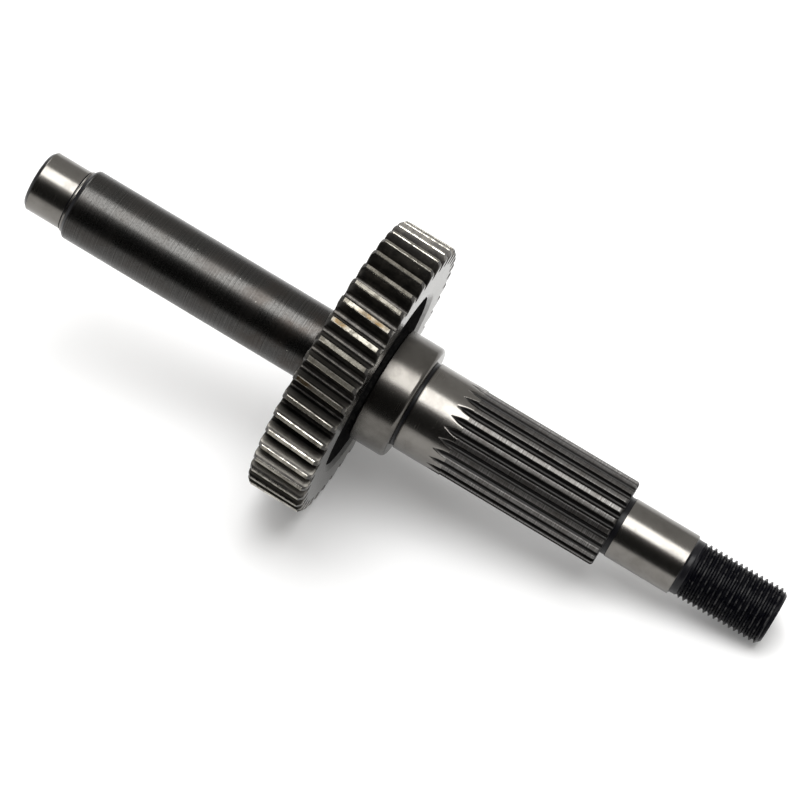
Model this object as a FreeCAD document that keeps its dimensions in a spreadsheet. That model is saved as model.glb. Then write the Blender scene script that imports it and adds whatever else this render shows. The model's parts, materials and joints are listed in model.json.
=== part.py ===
# Transmission output shaft: journals, helical gear, involute spline and threaded end in one piece of steel.
#
# The shaft is drawn along +X from its plain end to its threaded end.
# The fine thread is left off: its end is a plain cylinder of the thread's outside diameter.
# At the end the shaft is laid down the way it comes to rest on a flat surface:
# on two gear teeth and on the threaded end, which points towards +X and lies lower.

import FreeCAD, Part
import math
import os

import Sketcher
from FreeCAD import Placement, Rotation, Vector

doc = FreeCAD.newDocument("transmission_shaft")

# Driving dimensions in millimetres and degrees

driving_dimensions = [
    # plain end
    ("end_journal_dia", 17.0),
    ("end_journal_length", 11.0),
    ("end_chamfer", 1.0),
    ("end_groove_width", 0.4),
    ("end_groove_dia", 16.4),
    # dark barrel between the plain end and the gear
    ("shoulder_cone_length", 1.6),
    ("barrel_dia", 20.0),
    ("barrel_length", 74.3),
    ("barrel_foot", 2.0),
    # helical gear
    ("gear_module", 1.75),
    ("gear_teeth", 43),
    ("gear_helix_angle", 5.2),
    ("gear_pressure_angle", 20.0),
    ("gear_width", 16.0),
    ("gear_addendum", 1.75),
    ("gear_dedendum", 2.19),
    ("gear_backlash", 0.12),
    ("gear_tip_chamfer", 1.1),
    ("web_relief_dia", 54.0),
    ("web_relief_depth", 0.8),
    # ground collar beside the gear
    ("collar_groove_dia", 30.6),
    ("collar_groove_width", 1.35),
    ("collar_edge", 0.3),
    ("collar_dia", 32.0),
    ("collar_length", 10.25),
    ("collar_round", 1.3),
    # middle journal
    ("middle_groove_dia", 24.2),
    ("middle_groove_width", 0.8),
    ("middle_journal_dia", 25.0),
    ("middle_journal_length", 13.9),
    # involute spline, hobbed after turning, so its grooves run out into the middle journal
    ("spline_module", 1.0),
    ("spline_teeth", 24),
    ("spline_pressure_angle", 30.0),
    ("spline_dia", 24.6),
    ("spline_root_dia", 22.7),
    ("spline_gap_at_pitch", 1.63),
    ("spline_length", 45.5),
    ("spline_end_chamfer", 0.8),
    ("spline_full_depth_start", 2.25),
    ("spline_cutter_dia", 40.0),
    ("spline_turn", -4.4),
    # bearing journal behind the spline
    ("neck_dia", 16.6),
    ("neck_width", 1.4),
    ("bearing_journal_dia", 17.0),
    ("bearing_journal_length", 18.7),
    # threaded end, an M16 x 1.5 thread left plain
    ("thread_relief_dia", 15.5),
    ("thread_relief_width", 2.9),
    ("thread_relief_foot", 0.4),
    ("thread_dia", 16.0),
    ("thread_length", 23.8),
    ("thread_chamfer", 1.3),
    # centre holes in both end faces
    ("centre_drill_dia", 3.15),
    ("centre_drill_depth", 7.0),
    ("centre_cone_dia", 6.7),
]

SHEET = "sizes"


class Size:
    """A length or an angle: its value now, and the expression that keeps it bound to the sheet."""

    def __init__(self, value, text):
        self.value = value
        self.text = text

    @staticmethod
    def of(other):
        return other if isinstance(other, Size) else Size(float(other), str(other))

    def __add__(self, other):
        other = Size.of(other)
        return Size(self.value + other.value, f"({self.text} + {other.text})")

    def __sub__(self, other):
        other = Size.of(other)
        return Size(self.value - other.value, f"({self.text} - {other.text})")

    def __mul__(self, factor):
        factor = Size.of(factor)
        return Size(self.value * factor.value, f"({self.text} * {factor.text})")

    def __truediv__(self, divisor):
        divisor = Size.of(divisor)
        return Size(self.value / divisor.value, f"({self.text} / {divisor.text})")

    def __neg__(self):
        return Size(-self.value, f"(0 - {self.text})")


class Sizes:
    """Named sizes, read back from the sheet."""


sheet = doc.addObject("Spreadsheet::Sheet", SHEET)
for row, (alias, value) in enumerate(driving_dimensions, start=1):
    sheet.set(f"A{row}", alias)
    sheet.set(f"B{row}", str(value))
    sheet.setAlias(f"B{row}", alias)
doc.recompute()

size = Sizes()
for alias, _ in driving_dimensions:
    setattr(size, alias, Size(float(getattr(sheet, alias)), f"{SHEET}.{alias}"))

# The body and its own planes

shaft = doc.addObject("PartDesign::Body", "output_shaft")
shaft.Label = "output_shaft"


def origin(role):
    """The origin plane or axis of the shaft's body with this role."""
    return next(item for item in shaft.Origin.OriginFeatures if item.Role == role)


def new_sketch(name, plane):
    sketch = shaft.newObject("Sketcher::SketchObject", name)
    sketch.AttachmentSupport = (origin(plane), [""])
    sketch.MapMode = "FlatFace"
    return sketch


def bind(target, path, wanted):
    """Bind a property or a constraint to the sheet."""
    target.setExpression(path, wanted.text)


# Centre holes: a drilled pilot with a 118 degree tip, opened by a 60 degree cone

SIXTY_DEGREE_HEIGHT = 0.8660254
DRILL_TIP_RATIO = 0.3

drill_tip = size.centre_drill_dia * DRILL_TIP_RATIO
cone_length = (size.centre_cone_dia - size.centre_drill_dia) * SIXTY_DEGREE_HEIGHT
pilot_length = size.centre_drill_depth - drill_tip - cone_length

# Gear diameters follow from the module, the number of teeth and the helix angle

helix_angle = math.radians(size.gear_helix_angle.value)
helix_cosine = Size(math.cos(helix_angle), f"cos({size.gear_helix_angle.text} * 1 deg)")
gear_pitch_dia = size.gear_module * size.gear_teeth / helix_cosine
gear_tip_dia = gear_pitch_dia + size.gear_addendum * 2
gear_shoulder_dia = gear_tip_dia - size.gear_tip_chamfer * 2

# Turned outline: each row is a step along the shaft and the diameter that it reaches

zero = Size(0.0, "0")
web_foot_dia = size.web_relief_dia - size.web_relief_depth * 2

turned_steps = [
    # centre hole in the plain end, from its tip outwards
    ("", -drill_tip, size.centre_drill_dia),
    ("", -pilot_length, size.centre_drill_dia),
    ("", -cone_length, size.centre_cone_dia),
    # end journal and its grinding groove
    ("", zero, size.end_journal_dia - size.end_chamfer * 2),
    ("", size.end_chamfer, size.end_journal_dia),
    ("", size.end_journal_length - size.end_chamfer, size.end_journal_dia),
    ("", zero, size.end_groove_dia),
    ("", size.end_groove_width, size.end_groove_dia),
    # barrel
    ("", size.shoulder_cone_length, size.barrel_dia),
    ("", size.barrel_length - size.barrel_foot, size.barrel_dia),
    ("", size.barrel_foot + size.web_relief_depth, size.barrel_dia + size.barrel_foot * 2),
    # gear blank with a shallow relief in each face
    ("", zero, web_foot_dia),
    ("gear_near_face", -size.web_relief_depth, size.web_relief_dia),
    ("", zero, gear_shoulder_dia),
    ("", size.gear_tip_chamfer, gear_tip_dia),
    ("", size.gear_width - size.gear_tip_chamfer * 2, gear_tip_dia),
    ("", size.gear_tip_chamfer, gear_shoulder_dia),
    ("gear_far_face", zero, size.web_relief_dia),
    ("", -size.web_relief_depth, web_foot_dia),
    # collar
    ("", zero, size.collar_groove_dia),
    ("", size.collar_groove_width, size.collar_groove_dia),
    ("", zero, size.collar_dia - size.collar_edge * 2),
    ("", size.collar_edge, size.collar_dia),
    ("collar_corner", size.collar_length - size.collar_edge, size.collar_dia),
    # middle journal
    ("", zero, size.middle_groove_dia),
    ("", size.middle_groove_width, size.middle_groove_dia),
    ("", zero, size.middle_journal_dia),
    ("spline_start", size.middle_journal_length, size.middle_journal_dia),
    # spline blank
    ("", zero, size.spline_dia),
    ("", size.spline_length - size.spline_end_chamfer, size.spline_dia),
    ("spline_end", size.spline_end_chamfer, size.spline_dia - size.spline_end_chamfer * 2),
    # bearing journal
    ("", zero, size.neck_dia),
    ("", size.neck_width, size.neck_dia),
    ("", zero, size.bearing_journal_dia),
    ("", size.bearing_journal_length, size.bearing_journal_dia),
    # thread relief and thread blank
    ("", zero, size.thread_relief_dia + size.thread_relief_foot * 2),
    ("", size.thread_relief_foot, size.thread_relief_dia),
    ("", size.thread_relief_width - size.thread_relief_foot, size.thread_relief_dia),
    ("", zero, size.thread_dia),
    ("", size.thread_length - size.thread_chamfer, size.thread_dia),
    ("", size.thread_chamfer, size.thread_dia - size.thread_chamfer * 2),
    # centre hole in the threaded end
    ("threaded_face", zero, size.centre_cone_dia),
    ("", -cone_length, size.centre_drill_dia),
    ("", -pilot_length, size.centre_drill_dia),
    ("", -drill_tip, zero),
]


def draw_turned_outline(sketch):
    """Draw the half section, constrain each corner to the sheet and return the named stations."""
    corners = [Vector(size.centre_drill_depth.value, 0, 0)]
    stations = {}
    along = size.centre_drill_depth
    for name, step, dia in turned_steps:
        along = along + step
        corners.append(Vector(along.value, dia.value / 2, 0))
        if name:
            stations[name] = along
    for index, corner in enumerate(corners):
        following = corners[(index + 1) % len(corners)]
        sketch.addGeometry(Part.LineSegment(corner, following), False)
    for index in range(len(corners)):
        following = (index + 1) % len(corners)
        sketch.addConstraint(Sketcher.Constraint("Coincident", index, 2, following, 1))
    sketch.addConstraint(Sketcher.Constraint("PointOnObject", 0, 1, -1))
    start = Sketcher.Constraint("DistanceX", -1, 1, 0, 1, size.centre_drill_depth.value)
    bind(sketch, f"Constraints[{sketch.addConstraint(start)}]", size.centre_drill_depth)
    for index, (_, step, dia) in enumerate(turned_steps):
        if step is zero:
            sketch.addConstraint(Sketcher.Constraint("Vertical", index))
        else:
            length = Sketcher.Constraint("DistanceX", index, 1, index, 2, step.value)
            bind(sketch, f"Constraints[{sketch.addConstraint(length)}]", step)
        if dia is zero:
            sketch.addConstraint(Sketcher.Constraint("PointOnObject", index, 2, -1))
        else:
            radius = Sketcher.Constraint("DistanceY", -1, 1, index, 2, dia.value / 2)
            bind(sketch, f"Constraints[{sketch.addConstraint(radius)}]", dia / 2)
    return stations


outline = new_sketch("turned_outline", "XZ_Plane")
station = draw_turned_outline(outline)

blank = shaft.newObject("PartDesign::Revolution", "turned_blank")
blank.Profile = outline
blank.ReferenceAxis = (outline, ["H_Axis"])
blank.Angle = 360
doc.recompute()


# Rounded corner of the collar


def ring_edge(feature, along, dia):
    """Name of the circular edge of this feature at one station and diameter."""
    for number, edge in enumerate(feature.Shape.Edges, start=1):
        curve = edge.Curve
        if not isinstance(curve, Part.Circle):
            continue
        if abs(curve.Center.x - along.value) < 1e-4 and abs(curve.Radius - dia.value / 2) < 1e-4:
            return f"Edge{number}"
    raise ValueError(f"no ring edge at {along.value} of diameter {dia.value}")


collar_corner = shaft.newObject("PartDesign::Fillet", "collar_corner")
collar_corner.Base = (blank, [ring_edge(blank, station["collar_corner"], size.collar_dia)])
bind(collar_corner, "Radius", size.collar_round)
doc.recompute()


# Involute tooth gaps


def involute(angle):
    return math.tan(angle) - angle


def gap_half_angle(radius, pitch_radius, base_radius, half_gap_at_pitch):
    """Half the angle of the gap between two teeth, seen from the shaft's axis."""
    pressure_at_pitch = math.acos(base_radius / pitch_radius)
    pressure_here = math.acos(base_radius / radius)
    return half_gap_at_pitch + involute(pressure_here) - involute(pressure_at_pitch)


def flank_curve(foot, middle, top):
    """Plain curve of three poles from foot to top, through a middle point of the involute."""
    curve = Part.BSplineCurve()
    curve.buildFromPoles([foot, middle * 2 - (foot + top) * 0.5, top], False, 2)
    return curve


def draw_tooth_gap(sketch, pitch_dia, pressure_angle, gap_at_pitch, root_dia, top_radius):
    """Gap between two involute flanks, centred on the sketch's upward axis."""
    pitch_radius = pitch_dia / 2
    base_radius = pitch_radius * math.cos(pressure_angle)
    root_radius = max(root_dia / 2, base_radius)
    right_flank = []
    for radius in (root_radius, (root_radius + top_radius) / 2, top_radius):
        angle = gap_half_angle(radius, pitch_radius, base_radius, gap_at_pitch / pitch_dia)
        right_flank.append(Vector(radius * math.sin(angle), radius * math.cos(angle), 0))
    left_flank = [Vector(-point.x, point.y, 0) for point in right_flank]
    for edge in (
        flank_curve(*right_flank),
        Part.LineSegment(right_flank[-1], left_flank[-1]),
        flank_curve(*left_flank),
        Part.LineSegment(left_flank[0], right_flank[0]),
    ):
        sketch.addGeometry(edge, False)
    for number in range(sketch.GeometryCount):
        sketch.addConstraint(Sketcher.Constraint("Block", number))


# Helical gear: one gap, cut right through the rim along the helix, repeated round the shaft

CUT_MARGIN = 1.0

transverse_pressure_angle = math.atan(
    math.tan(math.radians(size.gear_pressure_angle.value)) / math.cos(helix_angle)
)
gear_gap_at_pitch = math.pi * gear_pitch_dia.value / size.gear_teeth.value / 2 + size.gear_backlash.value
gear_root_dia = gear_pitch_dia.value - 2 * size.gear_dedendum.value
gear_middle = station["gear_near_face"] + size.gear_width / 2
half_cut = size.gear_width / 2 + CUT_MARGIN


def helix_turn(along_from_middle):
    """Turn of the gear's helix, in degrees, this far along from the middle of the face."""
    tangent = Size(math.tan(helix_angle), f"tan({size.gear_helix_angle.text} * 1 deg)")
    return along_from_middle * tangent / (gear_pitch_dia / 2) * (180 / math.pi)


gap_sections = []
for name, offset, turned_about in (
    ("gear_gap_near", -half_cut, Vector(0, 0, -1)),
    ("gear_gap_far", half_cut, Vector(0, 0, 1)),
):
    section = new_sketch(name, "YZ_Plane")
    section.AttachmentOffset = Placement(
        Vector(0, 0, (gear_middle + offset).value),
        Rotation(turned_about, helix_turn(half_cut).value),
    )
    bind(section, "AttachmentOffset.Base.z", gear_middle + offset)
    bind(section, "AttachmentOffset.Rotation.Angle", helix_turn(half_cut))
    draw_tooth_gap(
        section,
        gear_pitch_dia.value,
        transverse_pressure_angle,
        gear_gap_at_pitch,
        gear_root_dia,
        gear_tip_dia.value / 2 + CUT_MARGIN,
    )
    gap_sections.append(section)
doc.recompute()

gear_gap = shaft.newObject("PartDesign::SubtractiveLoft", "gear_gap")
gear_gap.Profile = gap_sections[0]
gear_gap.Sections = [gap_sections[1]]
gear_gap.Ruled = True
doc.recompute()


def repeat_round(name, feature, count):
    """Repeat one cut round the shaft's axis."""
    pattern = shaft.newObject("PartDesign::PolarPattern", name)
    pattern.Originals = [feature]
    pattern.Axis = (origin("X_Axis"), [""])
    pattern.Angle = 360
    pattern.Occurrences = int(count.value)
    bind(pattern, "Occurrences", count)
    shaft.Tip = pattern
    doc.recompute()
    return pattern


gear_gaps = repeat_round("gear_gaps", gear_gap, size.gear_teeth)

# Spline: one groove, straight along the spline and lifted out on the cutter's radius

spline_pitch_dia = size.spline_module * size.spline_teeth
root_radius = size.spline_root_dia / 2
cut_start = station["spline_end"] + CUT_MARGIN
rise_start = station["spline_start"] + size.spline_full_depth_start
exit_radius = size.middle_journal_dia / 2 + CUT_MARGIN

groove_section = new_sketch("spline_groove_section", "YZ_Plane")
groove_section.AttachmentOffset = Placement(
    Vector(0, 0, cut_start.value), Rotation(Vector(0, 0, 1), size.spline_turn.value)
)
bind(groove_section, "AttachmentOffset.Base.z", cut_start)
draw_tooth_gap(
    groove_section,
    spline_pitch_dia.value,
    math.radians(size.spline_pressure_angle.value),
    size.spline_gap_at_pitch.value,
    size.spline_root_dia.value,
    exit_radius.value,
)

groove_path = new_sketch("spline_groove_path", "XZ_Plane")
groove_path.AttachmentOffset = Placement(
    Vector(0, 0, 0), Rotation(Vector(1, 0, 0), size.spline_turn.value)
)
cutter_radius = size.spline_cutter_dia / 2
exit_angle = math.acos(1 - (exit_radius - root_radius).value / cutter_radius.value)
cutter_circle = Part.Circle(
    Vector(rise_start.value, (root_radius + cutter_radius).value, 0),
    Vector(0, 0, 1),
    cutter_radius.value,
)
floor_line = Part.LineSegment(
    Vector(cut_start.value, root_radius.value, 0), Vector(rise_start.value, root_radius.value, 0)
)
groove_path.addGeometry(floor_line, False)
groove_path.addGeometry(
    Part.ArcOfCircle(cutter_circle, -math.pi / 2 - exit_angle, -math.pi / 2), False
)
groove_path.addConstraint(Sketcher.Constraint("Horizontal", 0))
groove_path.addConstraint(Sketcher.Constraint("Tangent", 0, 2, 1, 2))
for kind, geometry, point, wanted in (
    ("DistanceX", 0, 1, cut_start),
    ("DistanceY", 0, 1, root_radius),
    ("DistanceX", 0, 2, rise_start),
    ("DistanceY", 1, 1, exit_radius),
):
    place = Sketcher.Constraint(kind, -1, 1, geometry, point, wanted.value)
    bind(groove_path, f"Constraints[{groove_path.addConstraint(place)}]", wanted)
bend = groove_path.addConstraint(Sketcher.Constraint("Radius", 1, cutter_radius.value))
bind(groove_path, f"Constraints[{bend}]", cutter_radius)
doc.recompute()

spline_groove = shaft.newObject("PartDesign::SubtractivePipe", "spline_groove")
spline_groove.Profile = groove_section
spline_groove.Spine = (groove_path, ["Edge1", "Edge2"])
doc.recompute()
spline_grooves = repeat_round("spline_grooves", spline_groove, size.spline_teeth)

# Rest: rolled until a gap of the gear is down, then tipped onto the edge of its outline that lies
# under the centre of mass, which runs from the gear's tips to the threaded end


def lower_edges(points):
    """Edges of the lower convex outline of points given as (along, height)."""
    outline_points = []
    for point in sorted(set(points)):
        while len(outline_points) > 1:
            (x0, z0), (x1, z1) = outline_points[-2:]
            if (x1 - x0) * (point[1] - z0) > (z1 - z0) * (point[0] - x0):
                break
            outline_points.pop()
        outline_points.append(point)
    return list(zip(outline_points, outline_points[1:]))


def resting_tilt(points, centre_of_mass):
    """Tilt in degrees that lays the outline's edge under the centre of mass flat."""
    for start, end in lower_edges([(point.x, point.z) for point in points]):
        edge = Vector(end[0] - start[0], 0, end[1] - start[1])
        reach = (centre_of_mass - Vector(start[0], 0, start[1])).dot(edge)
        if 0 < reach < edge.Length**2:
            return math.degrees(math.atan2(edge.z, edge.x))
    raise ValueError("the shaft has no edge to rest on")


touching_corner = station["gear_far_face"] - size.gear_tip_chamfer
roll = Rotation(Vector(1, 0, 0), 180 - helix_turn(touching_corner - gear_middle).value)
SURFACE_ACCURACY = 0.02
surface_points, _ = shaft.Shape.tessellate(SURFACE_ACCURACY)
rolled_points = [roll.multVec(point) for point in surface_points]
centre_of_mass = roll.multVec(shaft.Shape.Solids[0].CenterOfMass)
tilt = Rotation(Vector(0, 1, 0), resting_tilt(rolled_points, centre_of_mass))
rested_box = FreeCAD.BoundBox()
for point in rolled_points:
    rested_box.add(tilt.multVec(point))
rest_origin = Vector(rested_box.Center.x, rested_box.Center.y, rested_box.ZMin)
shaft.Placement = Placement(-rest_origin, tilt.multiply(roll))
doc.recompute()

# Every feature must have worked, and the shaft must be one valid solid

for item in doc.Objects:
    if "Invalid" in item.State or "Error" in item.State:
        raise RuntimeError(f"{item.Label} failed: {item.State}")
if shaft.Shape.isNull() or not shaft.Shape.isValid() or len(shaft.Shape.Solids) != 1:
    raise RuntimeError("the shaft is not one valid solid")

os.makedirs("parts", exist_ok=True)
shaft.Shape.exportStep(f"parts/{shaft.Label}.step")

sides = f"{rested_box.XLength:.1f} x {rested_box.YLength:.1f} x {rested_box.ZLength:.1f} mm"
print(f"{shaft.Label}: {sides}")
print(f"volume {shaft.Shape.Volume / 1000:.1f} cm3, tilt {tilt.Angle * 180 / math.pi:.2f} degrees")
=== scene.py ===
import json
import math

import bmesh
import bpy
from mathutils import Matrix, Vector


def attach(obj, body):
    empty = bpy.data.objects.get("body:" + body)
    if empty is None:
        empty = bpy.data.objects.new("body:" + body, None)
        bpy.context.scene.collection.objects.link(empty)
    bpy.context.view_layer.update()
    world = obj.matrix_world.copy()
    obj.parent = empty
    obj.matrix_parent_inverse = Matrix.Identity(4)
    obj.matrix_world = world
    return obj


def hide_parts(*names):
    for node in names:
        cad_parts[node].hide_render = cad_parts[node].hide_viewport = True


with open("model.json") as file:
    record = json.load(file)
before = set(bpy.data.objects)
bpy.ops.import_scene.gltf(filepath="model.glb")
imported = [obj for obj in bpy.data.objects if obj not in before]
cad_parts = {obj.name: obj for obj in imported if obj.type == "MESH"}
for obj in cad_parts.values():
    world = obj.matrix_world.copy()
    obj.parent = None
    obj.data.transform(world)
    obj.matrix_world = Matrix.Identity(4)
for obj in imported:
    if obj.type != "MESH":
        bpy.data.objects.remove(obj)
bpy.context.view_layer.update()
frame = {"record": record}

# End journal
# The plain end of the shaft: a ground seat for a roller bearing, with a chamfered nose and the centre hole
# that the shaft was turned and ground on. It is forged steel, turned and then ground bright. Every stretch
# is modelled in millimetres along +X and laid down on the CAD part once they are all welded together.

MM = 0.001
SPLINE_TEETH = 24
COLUMNS_PER_TOOTH = 20
COLUMNS = SPLINE_TEETH * COLUMNS_PER_TOOTH
PILOT_RADIUS = 1.575
CONE_RADIUS = 3.35
CONE_LENGTH = 3.074
PILOT_BOTTOM = 6.055
DRILL_BOTTOM = 7.0
END_JOURNAL = 8.5
END_LENGTH = 11.0
END_CHAMFER = 1.0
NOSE_END = END_CHAMFER + 0.2
GROOVE_FLOOR = 8.2

mounts = {mount["name"]: mount for mount in frame["record"]["mounts"]}
axis = Vector(mounts["bearing_journal"]["axis"])
plain_end = Vector(mounts["end_journal"]["pos_m"]) - axis * (END_CHAMFER + END_LENGTH) / 2 * MM
tilt = math.atan2(-axis.z, axis.x)


def add_node(tree, kind, inputs=None, **settings):
    """Add a shader node, set its properties, and fill its inputs with values or other nodes' outputs."""
    made = tree.nodes.new("ShaderNode" + kind)
    for name, value in settings.items():
        setattr(made, name, value)
    for name, value in (inputs or {}).items():
        if isinstance(value, bpy.types.NodeSocket):
            tree.links.new(value, made.inputs[name])
        else:
            made.inputs[name].default_value = value
    return made


def ramp(tree, value, low, high, start=0, end=1):
    """Turn a value between low and high into one between start and end, with soft ends."""
    inputs = {"Value": value, "From Min": low, "From Max": high, "To Min": start, "To Max": end}
    return add_node(tree, "MapRange", inputs, interpolation_type="SMOOTHSTEP").outputs["Result"]


def combine(tree, operation, first, second):
    """Combine two numbers, each a value or another node's output."""
    return add_node(tree, "Math", {0: first, 1: second}, operation=operation).outputs[0]


def blend_colour(tree, share, first, second):
    """Mix two colours, each a triple or another node's output."""
    made = tree.nodes.new("ShaderNodeMix")
    made.data_type = "RGBA"
    for slot, value in ((0, share), (6, first), (7, second)):
        if isinstance(value, bpy.types.NodeSocket):
            tree.links.new(value, made.inputs[slot])
        else:
            made.inputs[slot].default_value = value if slot == 0 else (*value, 1)
    return made.outputs[2]


def new_group(name, inputs, outputs):
    """A shader node group with these number inputs, and these outputs of the kinds given."""
    group = bpy.data.node_groups.new(name, "ShaderNodeTree")
    for label, value in inputs.items():
        socket = group.interface.new_socket(label, in_out="INPUT", socket_type="NodeSocketFloat")
        socket.default_value = value
    for label, kind in outputs.items():
        group.interface.new_socket(label, in_out="OUTPUT", socket_type="NodeSocket" + kind)
    return group, group.nodes.new("NodeGroupInput").outputs, group.nodes.new("NodeGroupOutput").inputs


def place_on_shaft_group():
    """Where a point is on the shaft, in millimetres: as a vector, along the axis, and out from it."""
    group, _, out = new_group("place_on_shaft", {}, {"Place": "Vector", "Along": "Float", "Radius": "Float"})
    object_place = add_node(group, "TexCoord").outputs["Object"]
    settled = add_node(
        group,
        "Mapping",
        {"Vector": object_place, "Location": plain_end, "Rotation": (0, tilt, 0), "Scale": (MM, MM, MM)},
        vector_type="TEXTURE",
    ).outputs[0]
    parts = add_node(group, "SeparateXYZ", {0: settled}).outputs
    outward = add_node(group, "VectorMath", {0: settled, 1: (0, 1, 1)}, operation="MULTIPLY").outputs[0]
    radius = add_node(group, "VectorMath", {0: outward}, operation="LENGTH").outputs["Value"]
    group.links.new(settled, out["Place"])
    group.links.new(parts["X"], out["Along"])
    group.links.new(radius, out["Radius"])
    return group


def spread_out(group, place, spacing):
    """Divide a place in millimetres by this spacing, so that a texture's cells come out that large."""
    inputs = {0: place, "Scale": combine(group, "DIVIDE", 1, spacing)}
    return add_node(group, "VectorMath", inputs, operation="SCALE").outputs[0]


def turning_marks_group():
    """Fine rings round the axis, as a tool or a grinding wheel leaves them, stronger in some patches."""
    group, given, out = new_group(
        "turning_marks", {"Marks per mm": 5, "Across the face": 0, "Patch size": 9}, {"Marks": "Float"}
    )
    place = add_node(group, "Group", node_tree=PLACE_ON_SHAFT).outputs
    spread = spread_out(group, place["Place"], given["Patch size"])
    travel = add_node(
        group, "Mix", {0: given["Across the face"], 2: place["Along"], 3: place["Radius"]}
    ).outputs[0]
    rings = add_node(
        group,
        "TexNoise",
        {"W": combine(group, "MULTIPLY", travel, given["Marks per mm"]), "Scale": 1, "Detail": 3},
        noise_dimensions="1D",
    ).outputs["Fac"]
    patches = add_node(group, "TexNoise", {"Vector": spread, "Scale": 1, "Detail": 2}).outputs["Fac"]
    strength = ramp(group, patches, 0.3, 0.7, 0.35, 1)
    centred = combine(group, "SUBTRACT", rings, 0.5)
    group.links.new(combine(group, "ADD", combine(group, "MULTIPLY", centred, strength), 0.5), out["Marks"])
    return group


def specks_group():
    """Scattered small pits or bright flecks: 1 inside a speck, 0 elsewhere."""
    group, given, out = new_group("specks", {"Spacing": 2, "Share": 0.2, "Size": 0.2}, {"Specks": "Float"})
    place = add_node(group, "Group", node_tree=PLACE_ON_SHAFT).outputs["Place"]
    spread = spread_out(group, place, given["Spacing"])
    cells = add_node(group, "TexVoronoi", {"Vector": spread, "Scale": 1}).outputs
    chance = add_node(group, "SeparateColor", {0: cells["Color"]}).outputs[0]
    chosen = combine(group, "LESS_THAN", chance, given["Share"])
    near = ramp(group, cells["Distance"], given["Size"], 0)
    group.links.new(combine(group, "MULTIPLY", chosen, near), out["Specks"])
    return group


def stains_group():
    """Soft clouds of discolouring, from 0 to 1."""
    group, given, out = new_group("stains", {"Size": 12, "Amount": 0.5}, {"Stains": "Float"})
    place = add_node(group, "Group", node_tree=PLACE_ON_SHAFT).outputs["Place"]
    spread = spread_out(group, place, given["Size"])
    clouds = add_node(
        group, "TexNoise", {"Vector": spread, "Scale": 1, "Detail": 5, "Roughness": 0.6}
    ).outputs["Fac"]
    clouds = ramp(group, clouds, 0.4, 0.68)
    group.links.new(combine(group, "MULTIPLY", clouds, given["Amount"]), out["Stains"])
    return group


PLACE_ON_SHAFT = place_on_shaft_group()
TURNING_MARKS = turning_marks_group()
SPECKS = specks_group()
STAINS = stains_group()


def effect(tree, group, **inputs):
    """Place a shared effect in a material, with its own values, and give its output."""
    values = {name.replace("_", " "): value for name, value in inputs.items()}
    return add_node(tree, "Group", values, node_tree=group).outputs[0]


def new_finish(name, metallic=1):
    """A new material, with its node tree and the inputs of its shader."""
    material = bpy.data.materials.new(name)
    material.use_nodes = True
    shader = material.node_tree.nodes["Principled BSDF"]
    shader.inputs["Metallic"].default_value = metallic
    return material, material.node_tree, shader.inputs


def bump(tree, surface, height, depth):
    """Raise the surface by this height, from 0 to 1, times a depth in millimetres."""
    raised = add_node(tree, "Bump", {"Height": height, "Distance": depth * MM, "Strength": 1}).outputs[0]
    tree.links.new(raised, surface["Normal"])


def ground_finish(name, bright, dull):
    """Ground steel: hair-fine rings, a few pits, and duller clouds where it has been handled."""
    material, tree, surface = new_finish(name)
    marks = effect(tree, TURNING_MARKS, Marks_per_mm=7, Patch_size=6)
    pits = effect(tree, SPECKS, Spacing=1.5, Share=0.13, Size=0.11)
    clouds = effect(tree, STAINS, Size=5, Amount=0.45)
    worn = ramp(tree, marks, 0.3, 0.7, 0.25, 0)
    colour = blend_colour(tree, combine(tree, "ADD", clouds, worn), bright, dull)
    colour = blend_colour(tree, pits, colour, (0.04, 0.034, 0.03))
    dulling = combine(tree, "MULTIPLY", clouds, 0.08)
    roughness = combine(tree, "ADD", ramp(tree, marks, 0.3, 0.7, 0.17, 0.25), dulling)
    tree.links.new(colour, surface["Base Color"])
    tree.links.new(roughness, surface["Roughness"])
    bump(tree, surface, combine(tree, "SUBTRACT", marks, pits), 0.004)
    return material


def oxide_and_shade_finish():
    """Black oxide, thin and a little worn; also laid on the cone at the barrel's foot as painted shade."""
    material, tree, surface = new_finish("black_oxide_and_painted_shade", metallic=0)
    marks = effect(tree, TURNING_MARKS, Marks_per_mm=5, Patch_size=3)
    flecks = effect(tree, SPECKS, Spacing=0.9, Share=0.1, Size=0.14)
    colour = blend_colour(tree, marks, (0.003, 0.003, 0.0045), (0.009, 0.009, 0.011))
    colour = blend_colour(tree, combine(tree, "MULTIPLY", flecks, 0.3), colour, (0.2, 0.19, 0.18))
    tree.links.new(colour, surface["Base Color"])
    tree.links.new(ramp(tree, marks, 0.3, 0.7, 0.26, 0.36), surface["Roughness"])
    surface["Specular IOR Level"].default_value = 0.2
    bump(tree, surface, marks, 0.008)
    return material


ground_steel = ground_finish("ground_steel", (0.18, 0.172, 0.16), (0.115, 0.108, 0.098))
oxide_and_shade_steel = oxide_and_shade_finish()
finishes = []
stretches = []


def paint(shape, material, along=(-math.inf, math.inf), radius=(0, math.inf)):
    """Give this finish to the faces whose middle lies in these ranges, in millimetres."""
    if material not in finishes:
        finishes.append(material)
    for face in shape.faces:
        middle = face.calc_center_median() / MM
        if along[0] < middle.x < along[1] and radius[0] <= math.hypot(middle.y, middle.z) < radius[1]:
            face.material_index = finishes.index(material)


def keep(shape):
    """Put a finished stretch with the others."""
    mesh = bpy.data.meshes.new("stretch")
    shape.to_mesh(mesh)
    shape.free()
    stretches.append(mesh)


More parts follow.
